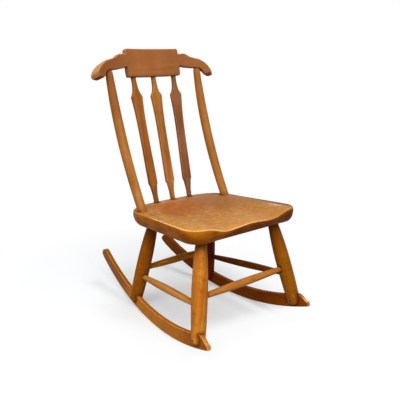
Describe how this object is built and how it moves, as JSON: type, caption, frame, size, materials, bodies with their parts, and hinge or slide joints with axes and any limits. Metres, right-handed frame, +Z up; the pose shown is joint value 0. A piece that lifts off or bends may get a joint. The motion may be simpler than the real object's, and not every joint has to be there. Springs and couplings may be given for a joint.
{
  "type": "rocking chair",
  "caption": "Armless maple rocking chair: saddle plank seat, bowed round posts, flat arrow-shaped spindles, a stepped crest rail with drooping ears, splayed legs and sawn rockers.",
  "frame": {"origin": "on the floor, below the middle of the overall length and width", "axes": "+Z up, -Y the way the sitter faces, +X to the right in the picture (the sitter's left)"},
  "size_m": [0.528, 0.7464, 0.9054],
  "materials": {
    "seat_maple": "stained maple under a satin clear coat",
    "crest_maple": "stained maple under a satin clear coat",
    "post_maple": "stained maple under a satin clear coat",
    "arrow_maple": "stained maple under a satin clear coat",
    "leg_maple": "stained maple under a satin clear coat",
    "stretcher_maple": "stained maple under a satin clear coat",
    "rocker_maple": "stained maple under a satin clear coat",
    "peg_maple": "stained maple under a satin clear coat"
  },
  "bodies": {
    "root": {"seat": "seat_maple", "crest_rail": "crest_maple", "post_left": "post_maple", "post_right": "post_maple", "arrow_left": "arrow_maple", "arrow_middle": "arrow_maple", "arrow_right": "arrow_maple", "leg_front_left": "leg_maple", "leg_front_right": "leg_maple", "leg_rear_left": "leg_maple", "leg_rear_right": "leg_maple", "stretcher_front": "stretcher_maple", "stretcher_rear": "stretcher_maple", "stretcher_left": "stretcher_maple", "stretcher_right": "stretcher_maple", "rocker_left": "rocker_maple", "rocker_right": "rocker_maple", "peg_front_left": "peg_maple", "peg_front_right": "peg_maple", "peg_rear_left": "peg_maple", "peg_rear_right": "peg_maple"}
  },
  "joints": []
}
